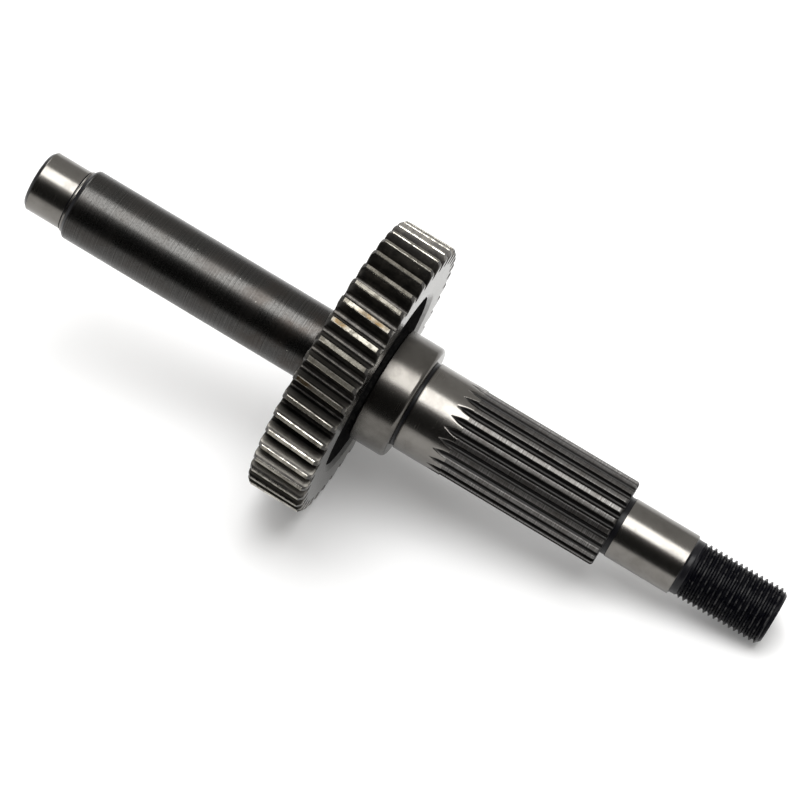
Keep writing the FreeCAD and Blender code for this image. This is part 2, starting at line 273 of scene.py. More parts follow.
def turn_profile(corners):
    """Spin a line of (along, radius, rounding) corners, in millimetres, round the shaft's axis."""
    shape = bmesh.new()
    line = [shape.verts.new((along * MM, 0, radius * MM)) for along, radius, _ in corners]
    for start, end in zip(line, line[1:]):
        shape.edges.new((start, end))
    for corner, (_, _, size) in zip(line, corners):
        if size:
            bmesh.ops.bevel(
                shape,
                geom=[corner],
                offset=size * MM,
                segments=6 if size > 0.5 else 2,
                profile=0.5,
                affect="VERTICES",
                material=-1,
            )
    bmesh.ops.spin(
        shape,
        geom=list(shape.verts) + list(shape.edges),
        cent=(0, 0, 0),
        axis=(1, 0, 0),
        angle=2 * math.pi,
        steps=COLUMNS,
        use_merge=True,
        use_duplicate=False,
    )
    return shape


nose = turn_profile(
    [
        (DRILL_BOTTOM, 0, 0),
        (PILOT_BOTTOM, PILOT_RADIUS, 0),
        (CONE_LENGTH, PILOT_RADIUS, 0),
        (0, CONE_RADIUS, 0.08),
        (0, END_JOURNAL - END_CHAMFER, 0.1),
        (END_CHAMFER, END_JOURNAL, 0.1),
        (NOSE_END, END_JOURNAL, 0),
    ]
)
paint(nose, ground_steel)
paint(nose, oxide_and_shade_steel, along=(0.02, END_CHAMFER), radius=(END_JOURNAL - END_CHAMFER, END_JOURNAL))
keep(nose)
seat = turn_profile(
    [
        (NOSE_END, END_JOURNAL, 0),
        (END_LENGTH, END_JOURNAL, 0.08),
        (END_LENGTH, GROOVE_FLOOR, 0),
    ]
)
paint(seat, ground_steel)
keep(seat)

# Barrel
# The long plain stretch between the end journal and the gear, left dark from heat treatment after turning.
# A narrow groove and a turned ring lie at its foot, beside the journal.

BARREL = 10.0
GROOVE_END = 11.4
FOOT_RING = 8.85
FOOT_RING_END = 11.9
BARREL_START = 12.9
GEAR_NEAR = 87.3
GEAR_FAR = 103.3
WEB_DEPTH = 0.8
WEB_RIM = 27.0
WEB_SLOPE = 1.8
WEB_EDGE = WEB_RIM - WEB_SLOPE


def turned_finish():
    """Dark heat-treated steel with the lathe's rings, browner beside the gear."""
    material, tree, surface = new_finish("dark_turned_steel")
    along = add_node(tree, "Group", node_tree=PLACE_ON_SHAFT).outputs["Along"]
    marks = effect(tree, TURNING_MARKS, Marks_per_mm=3.2, Patch_size=7)
    fleck = effect(tree, SPECKS, Spacing=2.2, Share=0.16, Size=0.1)
    scar = effect(tree, SPECKS, Spacing=8, Share=0.2, Size=0.07)
    grain = effect(tree, STAINS, Size=0.5, Amount=0.8)
    clouds = effect(tree, STAINS, Size=8, Amount=0.8)
    beside_gear = ramp(tree, along, GEAR_NEAR - 32, GEAR_NEAR - 2, 0.35, 1)
    brown = combine(tree, "MULTIPLY", clouds, beside_gear)
    pale = combine(tree, "MULTIPLY", ramp(tree, marks, 0.2, 0.8), ramp(tree, grain, 0, 1, 1, 0.6))
    colour = blend_colour(tree, pale, (0.027, 0.0265, 0.0255), (0.072, 0.0705, 0.068))
    colour = blend_colour(tree, brown, colour, (0.04, 0.032, 0.027))
    colour = blend_colour(tree, combine(tree, "MAXIMUM", fleck, scar), colour, (0.34, 0.33, 0.3))
    tree.links.new(colour, surface["Base Color"])
    dulling = combine(tree, "MULTIPLY", clouds, 0.08)
    roughness = combine(tree, "ADD", ramp(tree, grain, 0, 1, 0.24, 0.32), dulling)
    tree.links.new(roughness, surface["Roughness"])
    bump(tree, surface, combine(tree, "ADD", combine(tree, "MULTIPLY", grain, 0.6), marks), 0.003)
    return material


def web_scale_and_shade_finish():
    """Black forging scale on the webs of the gear, made black also as painted shade in their recesses."""
    material, tree, surface = new_finish("web_scale_and_painted_shade", metallic=0)
    scale = effect(tree, STAINS, Size=1.2, Amount=1)
    colour = blend_colour(tree, scale, (0.006, 0.006, 0.0065), (0.016, 0.0155, 0.015))
    tree.links.new(colour, surface["Base Color"])
    tree.links.new(ramp(tree, scale, 0, 1, 0.8, 0.62), surface["Roughness"])
    surface["Specular IOR Level"].default_value = 0.0
    bump(tree, surface, scale, 0.02)
    return material


turned_steel = turned_finish()
web_scale_and_shade_steel = web_scale_and_shade_finish()

foot = turn_profile(
    [
        (END_LENGTH, GROOVE_FLOOR, 0),
        (GROOVE_END, GROOVE_FLOOR, 0),
        (GROOVE_END, FOOT_RING, 0.05),
        (FOOT_RING_END, FOOT_RING, 0),
    ]
)
paint(foot, oxide_and_shade_steel)
paint(foot, ground_steel, radius=(FOOT_RING - 0.03, FOOT_RING + 1))
keep(foot)
barrel = turn_profile(
    [
        (FOOT_RING_END, FOOT_RING, 0),
        (BARREL_START, BARREL, 0.4),
        (GEAR_NEAR + WEB_DEPTH, BARREL, 2.0),
        (GEAR_NEAR + WEB_DEPTH, WEB_EDGE, 0),
    ]
)
paint(barrel, turned_steel)
# The cone from the foot ring up to the barrel is painted black as painted shade, so that it shows no bright
# reflection.
paint(barrel, oxide_and_shade_steel, radius=(FOOT_RING, BARREL - 0.1), along=(FOOT_RING_END, BARREL_START))
# The rounding from the barrel into the gear's web is black: forging scale and painted shade in the recess.
paint(barrel, web_scale_and_shade_steel, radius=(BARREL + 0.2, WEB_RIM))
keep(barrel)

# Gear
# A hobbed helical gear in one piece with the shaft. The rims of its faces are turned bright, its tips are
# duller and chamfered at both faces, and the flanks are left black. Wear has rubbed the edges of the tips
# bright and has polished a band on the side of each tooth that drives. Oil has stained three of the tips.
# The spline is turned a little from the gear, which is measured from the spline here.

GEAR_TEETH = 43
GEAR_MODULE = 1.75
DEDENDUM = 2.19
BACKLASH = 0.12
HELIX = math.radians(5.2)
PRESSURE = math.atan(math.tan(math.radians(20)) / math.cos(HELIX))
PITCH_RADIUS = GEAR_MODULE * GEAR_TEETH / math.cos(HELIX) / 2
TIP_RADIUS = PITCH_RADIUS + GEAR_MODULE
ROOT_RADIUS = PITCH_RADIUS - DEDENDUM
ROOT_ROUND = 0.45
GAP_AT_PITCH = math.pi * PITCH_RADIUS / GEAR_TEETH + BACKLASH
GEAR_CHAMFER = 1.1
EDGE_BREAK = 0.2
FILLET_SHARES = (0.35, 0.62, 0.86)
FLANK_STEPS = 4
FACE_STEPS = 8
SPLINE_TURN = math.radians(-4.4)
STAIN_PLACES = ((97.0, -11.0, 37.9), (90.0, -29.4, 26.5), (90.8, -15.4, 36.4))
STAIN_LENGTHS = (6.0, 4.5, 3.0)
STAIN_WIDTH = 1 / 0.45


def flank_finish(name, polish):
    """Black hobbed flanks, polished by this share where the mating teeth roll on them."""
    material, tree, surface = new_finish(name)
    radius = add_node(tree, "Group", node_tree=PLACE_ON_SHAFT).outputs["Radius"]
    marks = effect(tree, TURNING_MARKS, Marks_per_mm=2.2, Patch_size=4)
    clouds = effect(tree, STAINS, Size=3, Amount=0.8)
    fleck = effect(tree, SPECKS, Spacing=1.6, Share=0.12, Size=0.12)
    colour = blend_colour(tree, clouds, (0.04, 0.038, 0.036), (0.085, 0.08, 0.072))
    colour = blend_colour(tree, fleck, colour, (0.3, 0.28, 0.24))
    low_edge = ramp(tree, radius, PITCH_RADIUS - 1.1, PITCH_RADIUS - 0.7)
    high_edge = ramp(tree, radius, PITCH_RADIUS + 1.15, PITCH_RADIUS + 0.85)
    band = combine(tree, "MULTIPLY", combine(tree, "MULTIPLY", low_edge, high_edge), polish)
    band = combine(tree, "MULTIPLY", band, ramp(tree, clouds, 0, 1, 1, 0.45))
    colour = blend_colour(tree, band, colour, (0.3, 0.285, 0.255))
    tree.links.new(colour, surface["Base Color"])
    tree.links.new(ramp(tree, marks, 0.3, 0.7, 0.34, 0.46), surface["Roughness"])
    bump(tree, surface, marks, 0.01)
    return material


def tip_finish():
    """Tip lands turned bright and since gone dull, with grime and amber oil stains."""
    material, tree, surface = new_finish("gear_tip_steel")
    place = add_node(tree, "Group", node_tree=PLACE_ON_SHAFT).outputs["Place"]
    marks = effect(tree, TURNING_MARKS, Marks_per_mm=4, Patch_size=2)
    grime = effect(tree, STAINS, Size=2.2, Amount=0.9)
    drift = effect(tree, STAINS, Size=1.1, Amount=1)
    colour = blend_colour(tree, ramp(tree, marks, 0.3, 0.7), (0.19, 0.18, 0.155), (0.32, 0.303, 0.262))
    colour = blend_colour(tree, grime, colour, (0.085, 0.078, 0.064))
    broken = ramp(tree, drift, 0, 1, 0.95, 0.5)
    for middle, length in zip(STAIN_PLACES, STAIN_LENGTHS):
        stretch = (1 / length, 1 / STAIN_WIDTH, 1 / STAIN_WIDTH)
        away = add_node(tree, "VectorMath", {0: place, 1: middle}, operation="SUBTRACT").outputs[0]
        shaped = add_node(tree, "VectorMath", {0: away, 1: stretch}, operation="MULTIPLY").outputs[0]
        distance = add_node(tree, "VectorMath", {0: shaped}, operation="LENGTH").outputs["Value"]
        amber = combine(tree, "MULTIPLY", ramp(tree, distance, 1.0, 0.35), broken)
        colour = blend_colour(tree, amber, colour, (0.085, 0.056, 0.024))
    tree.links.new(colour, surface["Base Color"])
    tree.links.new(ramp(tree, grime, 0, 1, 0.38, 0.5), surface["Roughness"])
    bump(tree, surface, marks, 0.006)
    return material


def edge_finish():
    """Tooth edges rubbed bright by deburring and by use."""
    material, tree, surface = new_finish("rubbed_edge_steel")
    wear = effect(tree, STAINS, Size=1.4, Amount=1)
    tree.links.new(blend_colour(tree, wear, (0.62, 0.595, 0.53), (0.16, 0.15, 0.13)), surface["Base Color"])
    tree.links.new(ramp(tree, wear, 0, 1, 0.26, 0.42), surface["Roughness"])
    return material


def faced_finish():
    """Faces turned on the lathe: fine rings about the axis, clean but not ground."""
    material, tree, surface = new_finish("faced_steel")
    surface["Specular Tint"].default_value = (0.75, 0.75, 0.75, 1)
    marks = effect(tree, TURNING_MARKS, Marks_per_mm=3, Across_the_face=1, Patch_size=5)
    clouds = effect(tree, STAINS, Size=6, Amount=0.6)
    colour = blend_colour(tree, ramp(tree, marks, 0.3, 0.7), (0.16, 0.157, 0.15), (0.27, 0.263, 0.25))
    colour = blend_colour(tree, clouds, colour, (0.11, 0.104, 0.096))
    tree.links.new(colour, surface["Base Color"])
    tree.links.new(ramp(tree, marks, 0.3, 0.7, 0.17, 0.25), surface["Roughness"])
    bump(tree, surface, marks, 0.003)
    return material


flank_steel = flank_finish("hobbed_flank_steel", 0)
driving_steel = flank_finish("driving_flank_steel", 0.45)
tip_steel = tip_finish()
edge_steel = edge_finish()
faced_steel = faced_finish()


def involute(angle):
    """How far an involute has swung round where its pressure angle has reached this."""
    return math.tan(angle) - angle


def half_gap(radius, pitch_radius, pressure, gap_at_pitch):
    """Half the gap between two involute teeth at this radius, as an angle at the shaft's axis."""
    here = math.acos(min(1, pitch_radius * math.cos(pressure) / radius))
    return gap_at_pitch / 2 / pitch_radius + involute(here) - involute(pressure)


def shaped_grid(columns, rows, place):
    """A grid of this many columns and rows of faces, each vertex at the (along, radius, angle) it is given.

    Angles are measured about the shaft's axis, from straight up."""
    shape = bmesh.new()
    for vert in bmesh.ops.create_grid(shape, x_segments=columns, y_segments=rows, size=0.5)["verts"]:
        along, radius, angle = place(round((vert.co.x + 0.5) * columns), round((vert.co.y + 0.5) * rows))
        vert.co = Vector((along, -radius * math.sin(angle), radius * math.cos(angle))) * MM
    return shape


def repeat_round(shape, count):
    """Repeat this shape round the shaft's axis."""
    bmesh.ops.spin(
        shape,
        geom=list(shape.verts) + list(shape.edges) + list(shape.faces),
        cent=(0, 0, 0),
        axis=(1, 0, 0),
        angle=2 * math.pi * (count - 1) / count,
        steps=count - 1,
        use_merge=False,
        use_duplicate=True,
    )


def tooth_outline(limit, inset):
    """Half a tooth from the middle of the gap to the middle of its tip, as (angle from the gap, radius).

    The tip is cut off at this limit, and the whole outline is drawn in by this inset."""
    foot = ROOT_RADIUS + ROOT_ROUND
    foot_angle = half_gap(foot, PITCH_RADIUS, PRESSURE, GAP_AT_PITCH)
    points = [(0, ROOT_RADIUS - inset)]
    for share in FILLET_SHARES:
        drop = ROOT_ROUND * (1 - share**3)
        points.append((foot_angle * share, foot - drop - inset))
    for step in range(FLANK_STEPS + 1):
        radius = foot + (limit - EDGE_BREAK - foot) * step / FLANK_STEPS
        angle = half_gap(radius, PITCH_RADIUS, PRESSURE, GAP_AT_PITCH) + inset / radius
        points.append((angle, radius - inset))
    edge_angle = points[-1][0] + EDGE_BREAK / limit
    half_pitch = math.pi / GEAR_TEETH
    points.append((edge_angle, limit - inset))
    points.append(((edge_angle + half_pitch) / 2, limit - inset))
    points.append((half_pitch, limit - inset))
    return points


gear_width = GEAR_FAR - GEAR_NEAR
face_limit = TIP_RADIUS - GEAR_CHAMFER
gear_rows = [(0, face_limit, EDGE_BREAK), (EDGE_BREAK, face_limit + EDGE_BREAK, 0)]
gear_rows.append((GEAR_CHAMFER, TIP_RADIUS, 0))
for step in range(1, FACE_STEPS):
    gear_rows.append((GEAR_CHAMFER + (gear_width - 2 * GEAR_CHAMFER) * step / FACE_STEPS, TIP_RADIUS, 0))
gear_rows += [(gear_width - depth, limit, inset) for depth, limit, inset in reversed(gear_rows[:3])]
half_outlines = [tooth_outline(limit, inset) for _, limit, inset in gear_rows]
half_columns = len(half_outlines[0]) - 1


def twist(across):
    """How far the helix has turned the tooth at this depth from the near face."""
    return (across - gear_width / 2) * math.tan(HELIX) / PITCH_RADIUS


TIP_ANGLE = math.pi / GEAR_TEETH - SPLINE_TURN


def place_gear(column, row):
    """Rows run across the face, with one more at each end that lies on the rim of the web."""
    inner_row = min(max(row - 1, 0), len(gear_rows) - 1)
    across = gear_rows[inner_row][0]
    from_middle = abs(half_columns - column)
    side = 1 if column > half_columns else -1
    angle, radius = half_outlines[inner_row][half_columns - from_middle]
    from_tip = side * (math.pi / GEAR_TEETH - angle)
    if row in (0, len(gear_rows) + 1):
        radius = WEB_RIM
        from_tip = (column / half_columns - 1) * math.pi / GEAR_TEETH
    return GEAR_NEAR + across, radius, TIP_ANGLE + from_tip + twist(across)


tooth = shaped_grid(2 * half_columns, len(gear_rows) + 1, place_gear)
paint(tooth, flank_steel)
finishes.append(driving_steel)
for face in tooth.faces:
    middle = face.calc_center_median() / MM
    if math.atan2(-middle.y, middle.z) < TIP_ANGLE + twist(middle.x - GEAR_NEAR):
        face.material_index = finishes.index(driving_steel)
paint(tooth, edge_steel, radius=(TIP_RADIUS - EDGE_BREAK * 0.8, TIP_RADIUS + 1))
paint(tooth, tip_steel, radius=(TIP_RADIUS - EDGE_BREAK * 0.2, TIP_RADIUS + 1))
for face_at in (GEAR_NEAR, GEAR_FAR):
    paint(tooth, faced_steel, along=(face_at - 0.01, face_at + 0.01))
repeat_round(tooth, GEAR_TEETH)
keep(tooth)

# Collar
# A ground ring beside the gear, with a groove at its foot and a rounded far corner. A fine line round it
# shows where the wheel stopped.

COLLAR = 16.0
COLLAR_FOOT = 15.3
COLLAR_START = GEAR_FAR + 0.55
COLLAR_CHAMFER = 0.3
COLLAR_END = 114.1
COLLAR_ROUND = 1.3
WHEEL_LINE = 107.8
WHEEL_LINE_HALF = 0.08
WHEEL_LINE_DEPTH = 0.012
UNDERCUT = 12.1
MIDDLE_JOURNAL = 12.5
UNDERCUT_END = COLLAR_END + 0.8
JOURNAL_START = COLLAR_END + 1.2

# The collar has its own copy of the ground steel, in darker shades than the journals'.
collar_steel = ground_finish("ground_collar_steel", (0.118, 0.112, 0.103), (0.064, 0.06, 0.054))

web = turn_profile(
    [
        (GEAR_FAR - WEB_DEPTH, WEB_EDGE, 0),
        (GEAR_FAR - WEB_DEPTH, COLLAR_FOOT, 0.15),
        (COLLAR_START, COLLAR_FOOT, 0.1),
        (COLLAR_START, COLLAR - COLLAR_CHAMFER, 0),
    ]
)
# The web between the gear and the collar is black: forging scale and painted shade in the recess.
paint(web, web_scale_and_shade_steel)
keep(web)
collar = turn_profile(
    [
        (COLLAR_START, COLLAR - COLLAR_CHAMFER, 0),
        (COLLAR_START + COLLAR_CHAMFER, COLLAR, 0.08),
        (WHEEL_LINE - WHEEL_LINE_HALF, COLLAR, 0),
        (WHEEL_LINE, COLLAR - WHEEL_LINE_DEPTH, 0),
        (WHEEL_LINE + WHEEL_LINE_HALF, COLLAR, 0),
        (COLLAR_END, COLLAR, COLLAR_ROUND),
        (COLLAR_END, UNDERCUT, 0.1),
        (UNDERCUT_END, UNDERCUT, 0.1),
        (UNDERCUT_END, MIDDLE_JOURNAL, 0.08),
        (JOURNAL_START, MIDDLE_JOURNAL, 0),
    ]
)
paint(collar, collar_steel)
paint(
    collar, oxide_and_shade_steel, along=(COLLAR_END - 0.1, UNDERCUT_END + 0.01), radius=(0, MIDDLE_JOURNAL - 0.06)
)
keep(collar)

# Middle journal and spline
# The bearing seat is ground. The spline was hobbed after turning, and its grooves run out into the seat
# on the radius of the cutter, each to a point.

SPLINE_START = 128.8
SPLINE_END = 174.3
SPLINE_LAND = 12.3
SPLINE_ROOT = 11.35
SPLINE_ROOT_ROUND = 0.3
SPLINE_PITCH_RADIUS = 12.0
SPLINE_PRESSURE = math.radians(30)
SPLINE_GAP = 1.63
SPLINE_ROUND = 0.8
FULL_DEPTH = SPLINE_START + 2.25
CUTTER = 20.0
SPLINE_BREAK = 0.07
NECK = 8.3
LAND_STEPS = 3
GROOVE_STEPS = COLUMNS_PER_TOOTH // 2 - LAND_STEPS - 1
FLOOR_STEPS = 12
FLOOR_ARC = 0.8
SIDE_STEPS = 24
POINTED_DEPTH = 0.75
RUN_OUT_STEPS = 8
START_STEPS = 4
LENGTH_STEPS = 4
ROUND_STEPS = 5

half_tooth = math.pi / SPLINE_TEETH


def spline_finish():
    """Black in the grooves, rubbed to dark grey on the lands, with the rings that turning left there."""
    material, tree, surface = new_finish("hobbed_spline_steel")
    radius = add_node(tree, "Group", node_tree=PLACE_ON_SHAFT).outputs["Radius"]
    marks = effect(tree, TURNING_MARKS, Marks_per_mm=2.6, Patch_size=5)
    clouds = effect(tree, STAINS, Size=4, Amount=0.8)
    rubbed = ramp(tree, radius, SPLINE_LAND - 0.35, SPLINE_LAND - 0.02)
    land = blend_colour(tree, ramp(tree, marks, 0.3, 0.7), (0.06, 0.058, 0.056), (0.15, 0.146, 0.14))
    land = blend_colour(tree, clouds, land, (0.065, 0.06, 0.055))
    colour = blend_colour(tree, rubbed, (0.02, 0.0195, 0.019), land)
    tree.links.new(colour, surface["Base Color"])
    tree.links.new(ramp(tree, marks, 0.3, 0.7, 0.46, 0.34), surface["Roughness"])
    bump(tree, surface, combine(tree, "MULTIPLY", marks, rubbed), 0.014)
    return material


spline_steel = spline_finish()


def groove_half():
    """Half the groove's section, from its middle outwards, as (across, up) from the shaft's axis."""
    foot = SPLINE_ROOT + SPLINE_ROOT_ROUND
    foot_angle = half_gap(foot, SPLINE_PITCH_RADIUS, SPLINE_PRESSURE, SPLINE_GAP)
    foot_across = foot * math.sin(foot_angle)
    points = []
    for step in range(FLOOR_STEPS):
        share = step / FLOOR_STEPS
        rise = (1 - math.sqrt(1 - share**2 * FLOOR_ARC)) / (1 - math.sqrt(1 - FLOOR_ARC))
        points.append((foot_across * share, SPLINE_ROOT + SPLINE_ROOT_ROUND * rise))
    for step in range(SIDE_STEPS + 1):
        radius = foot + (MIDDLE_JOURNAL + 0.5 - foot) * step / SIDE_STEPS
        angle = half_gap(radius, SPLINE_PITCH_RADIUS, SPLINE_PRESSURE, SPLINE_GAP)
        points.append((radius * math.sin(angle), radius * math.cos(angle)))
    return points


groove_points = groove_half()


def groove_columns(lift, limit, count):
    """The lifted groove below this radius, in equal steps, from its middle to its mouth, as (angle, radius).

    Where the cutter is shallow its tip cuts a narrower floor, so that the groove ends in a point."""
    depth = MIDDLE_JOURNAL - SPLINE_ROOT - lift
    narrow = min(1, depth / POINTED_DEPTH)
    floor_half = groove_points[FLOOR_STEPS][0]
    lifted = [(across - min(across, floor_half) * (1 - narrow), up + lift) for across, up in groove_points]
    inside = [point for point in lifted if math.hypot(*point) < limit]
    if not inside:
        return []
    low, high = inside[-1], lifted[len(inside)]
    low_radius, high_radius = math.hypot(*low), math.hypot(*high)
    share = (limit - low_radius) / (high_radius - low_radius)
    inside.append((low[0] + (high[0] - low[0]) * share, low[1] + (high[1] - low[1]) * share))
    lengths = [0]
    for start, end in zip(inside, inside[1:]):
        lengths.append(lengths[-1] + math.dist(start, end))
    points = []
    for step in range(count + 1):
        wanted = lengths[-1] * step / count
        index = max(i for i, length in enumerate(lengths) if length <= wanted + 1e-9)
        index = min(index, len(inside) - 2)
        span = lengths[index + 1] - lengths[index]
        part = (wanted - lengths[index]) / span if span else 0
        across = inside[index][0] + (inside[index + 1][0] - inside[index][0]) * part
        up = inside[index][1] + (inside[index + 1][1] - inside[index][1]) * part
        points.append((math.atan2(across, up), math.hypot(across, up)))
    return points


def spline_line(along, limit):
    """Half a tooth at this station, from the middle of the groove to the middle of the land."""
    run = max(0, FULL_DEPTH - along)
    line = groove_columns(CUTTER - math.sqrt(CUTTER**2 - run**2), limit - SPLINE_BREAK / 2, GROOVE_STEPS)
    if line:
        land_edge = line[-1][0] + SPLINE_BREAK / limit
    else:
        line = [(0, limit)] * (GROOVE_STEPS + 1)
        land_edge = 0
    for step in range(LAND_STEPS + 1):
        line.append((land_edge + (half_tooth - land_edge) * step / LAND_STEPS, limit))
    return line


def plain_line(limit):
    """The same half tooth's columns where no groove is cut."""
    columns = COLUMNS_PER_TOOTH // 2
    return [(half_tooth * step / columns, limit) for step in range(columns + 1)]


run_out = math.sqrt(CUTTER**2 - (CUTTER - (MIDDLE_JOURNAL - SPLINE_ROOT)) ** 2)
tip_of_groove = FULL_DEPTH - run_out
land_start = SPLINE_START - 0.03
spline_rows = [(JOURNAL_START, plain_line(MIDDLE_JOURNAL))]
spline_rows.append((tip_of_groove - 1.5, plain_line(MIDDLE_JOURNAL)))
for step in range(RUN_OUT_STEPS + 1):
    along = tip_of_groove + (land_start - tip_of_groove) * (step / RUN_OUT_STEPS) ** 1.5
    spline_rows.append((along, spline_line(along, MIDDLE_JOURNAL)))
for step in range(START_STEPS + 1):
    along = SPLINE_START + (FULL_DEPTH - SPLINE_START) * step / START_STEPS
    spline_rows.append((along, spline_line(along, SPLINE_LAND)))
for step in range(1, LENGTH_STEPS + 1):
    along = FULL_DEPTH + (SPLINE_END - SPLINE_ROUND - FULL_DEPTH) * step / LENGTH_STEPS
    spline_rows.append((along, spline_line(along, SPLINE_LAND)))
for step in range(1, ROUND_STEPS + 1):
    angle = math.pi / 2 * step / ROUND_STEPS
    along = SPLINE_END - SPLINE_ROUND * (1 - math.sin(angle))
    spline_rows.append((along, spline_line(along, SPLINE_LAND - SPLINE_ROUND * (1 - math.cos(angle)))))
spline_rows.append((SPLINE_END, plain_line(NECK)))


def place_spline(column, row):
    """Columns run from land to land across one groove, and rows along the shaft."""
    along, line = spline_rows[row]
    from_middle = column - COLUMNS_PER_TOOTH // 2
    angle, radius = line[abs(from_middle)]
    return along, radius, math.copysign(angle, from_middle)


groove = shaped_grid(COLUMNS_PER_TOOTH, len(spline_rows) - 1, place_spline)
paint(groove, spline_steel)
paint(groove, ground_steel, along=(0, SPLINE_START), radius=(MIDDLE_JOURNAL - 0.05, MIDDLE_JOURNAL + 1))
repeat_round(groove, SPLINE_TEETH)
keep(groove)

# Bearing journal
# The outer bearing's ground seat, with a black turned neck before it and the thread's relief behind it.

NECK_END = 175.7
BEARING_JOURNAL = 8.5
BEARING_END = 194.4
RELIEF = 7.75
RELIEF_RING = 195.3
THREAD_SKIN_START = RELIEF_RING + 0.3

neck = turn_profile([(SPLINE_END, NECK, 0), (NECK_END, NECK, 0.1), (NECK_END, BEARING_JOURNAL - 0.1, 0)])
paint(neck, oxide_and_shade_steel)
keep(neck)
bearing_seat = turn_profile(
    [
        (NECK_END, BEARING_JOURNAL - 0.1, 0),
        (NECK_END + 0.1, BEARING_JOURNAL, 0),
        (BEARING_END, BEARING_JOURNAL, 0.1),
        (BEARING_END, RELIEF, 0.6),
        (RELIEF_RING, RELIEF, 0),
    ]
)
paint(bearing_seat, ground_steel)
paint(bearing_seat, oxide_and_shade_steel, along=(BEARING_END - 0.1, RELIEF_RING), radius=(0, BEARING_JOURNAL - 0.05))
keep(bearing_seat)

# Threaded end
# A fine right-hand thread for the shaft nut, chamfered at its end, with the second centre hole.
# It is cut and then blacked, and its crests are lighter: partly where the nut has rubbed them, partly
# painted highlight.

THREAD = 8.0
THREAD_START = 197.3
THREAD_END = 221.1
THREAD_PITCH = 1.5
THREAD_CHAMFER = 1.3
THREAD_DEPTH = 0.78
CREST_SHARE = 1 / 5
ROOT_SHARE = 1 / 4
COLUMNS_PER_TURN = 96
THREAD_LEAD_IN = 0.42
THREAD_TURNS = 20
TURNS_BEFORE_START = 3
FADE_START = THREAD_START - 1.5
FADE_LENGTH = 1.2


def thread_finish():
    """Black oxide, lighter here and there on the crests: partly rubbed grey, partly painted highlight."""
    material, tree, surface = new_finish("black_thread_steel", metallic=0)
    radius = add_node(tree, "Group", node_tree=PLACE_ON_SHAFT).outputs["Radius"]
    clouds = effect(tree, STAINS, Size=1.6, Amount=1)
    fleck = effect(tree, SPECKS, Spacing=1.3, Share=0.12, Size=0.16)
    # Lighter crests: wear from the nut and painted highlight along them.
    rubbed = combine(tree, "MULTIPLY", ramp(tree, radius, THREAD - 0.12, THREAD - 0.01), clouds)
    colour = blend_colour(tree, clouds, (0.0025, 0.0025, 0.004), (0.006, 0.006, 0.0075))
    colour = blend_colour(tree, combine(tree, "MULTIPLY", rubbed, 0.4), colour, (0.1, 0.098, 0.095))
    colour = blend_colour(tree, combine(tree, "MULTIPLY", fleck, 0.4), colour, (0.25, 0.24, 0.23))
    tree.links.new(colour, surface["Base Color"])
    tree.links.new(ramp(tree, clouds, 0, 1, 0.24, 0.34), surface["Roughness"])
    surface["Specular IOR Level"].default_value = 0.05
    bump(tree, surface, clouds, 0.01)
    return material


thread_steel = thread_finish()
half_profile = [
    (0, 0),
    (CREST_SHARE / 2, 0),
    ((CREST_SHARE / 2 + 0.5 - ROOT_SHARE / 2) / 2, 0.5),
    (0.5 - ROOT_SHARE / 2, 1),
    (0.5, 1),
]
thread_profile = half_profile + [(1 - share, depth) for share, depth in reversed(half_profile[:-1])]
first_crest = THREAD_START - THREAD_LEAD_IN + THREAD_PITCH * (0.5 - TURNS_BEFORE_START)


def place_thread(column, row):
    """Columns wind round the shaft, and rows run from crest to crest, no farther out than the blank."""
    turns = column / COLUMNS_PER_TURN
    share, depth = thread_profile[row]
    along = first_crest + THREAD_PITCH * (turns + share)
    fade = min(1, max(0, (along - FADE_START) / FADE_LENGTH))
    blank = THREAD if along > THREAD_START else RELIEF
    blank = min(blank, THREAD_END + THREAD - THREAD_CHAMFER - along)
    radius = min(THREAD - THREAD_DEPTH * depth * fade, blank)
    return along, radius, 2 * math.pi * turns - SPLINE_TURN


thread = shaped_grid(COLUMNS_PER_TURN * THREAD_TURNS, len(thread_profile) - 1, place_thread)
bmesh.ops.remove_doubles(thread, verts=thread.verts, dist=1e-7)
for along, clear_inner, clear_outer in ((THREAD_SKIN_START, True, False), (THREAD_END, False, True)):
    bmesh.ops.bisect_plane(
        thread,
        geom=list(thread.verts) + list(thread.edges) + list(thread.faces),
        dist=1e-7,
        plane_co=(along * MM, 0, 0),
        plane_no=(1, 0, 0),
        clear_inner=clear_inner,
        clear_outer=clear_outer,
    )
paint(thread, thread_steel)
paint(thread, oxide_and_shade_steel, along=(0, THREAD_START - THREAD_PITCH / 2))
keep(thread)
far_centre = turn_profile(
    [
        (THREAD_END, CONE_RADIUS, 0),
        (THREAD_END - CONE_LENGTH, PILOT_RADIUS, 0),
        (THREAD_END - PILOT_BOTTOM, PILOT_RADIUS, 0),
        (THREAD_END - DRILL_BOTTOM, 0, 0),
    ]
)
paint(far_centre, oxide_and_shade_steel)
keep(far_centre)

# The whole shaft
# It is forged, turned and hobbed in one piece of steel, so all its stretches are welded into one skin. It
# lies on two teeth of the gear and on the threaded end, as the solid does.

SHARP = math.radians(32)
RING_REACH = 0.3

steel = bmesh.new()
for stretch in stretches:
    steel.from_mesh(stretch)
    bpy.data.meshes.remove(stretch)
bmesh.ops.remove_doubles(steel, verts=steel.verts, dist=2e-6)


def open_ring(along, radius):
    """Open edges at this station whose ends lie near this radius."""
    ring = []
    for edge in steel.edges:
        if len(edge.link_faces) != 1:
            continue
        ends = [vert.co / MM for vert in edge.verts]
        at_station = all(abs(end.x - along) < 0.01 for end in ends)
        if at_station and all(abs(math.hypot(end.y, end.z) - radius) < RING_REACH for end in ends):
            ring.append(edge)
    return ring


def join_rings(first, second, material):
    """Close the gap between two rings of open edges."""
    made = bmesh.ops.bridge_loops(steel, edges=first + second)["faces"]
    for face in made:
        face.material_index = finishes.index(material)


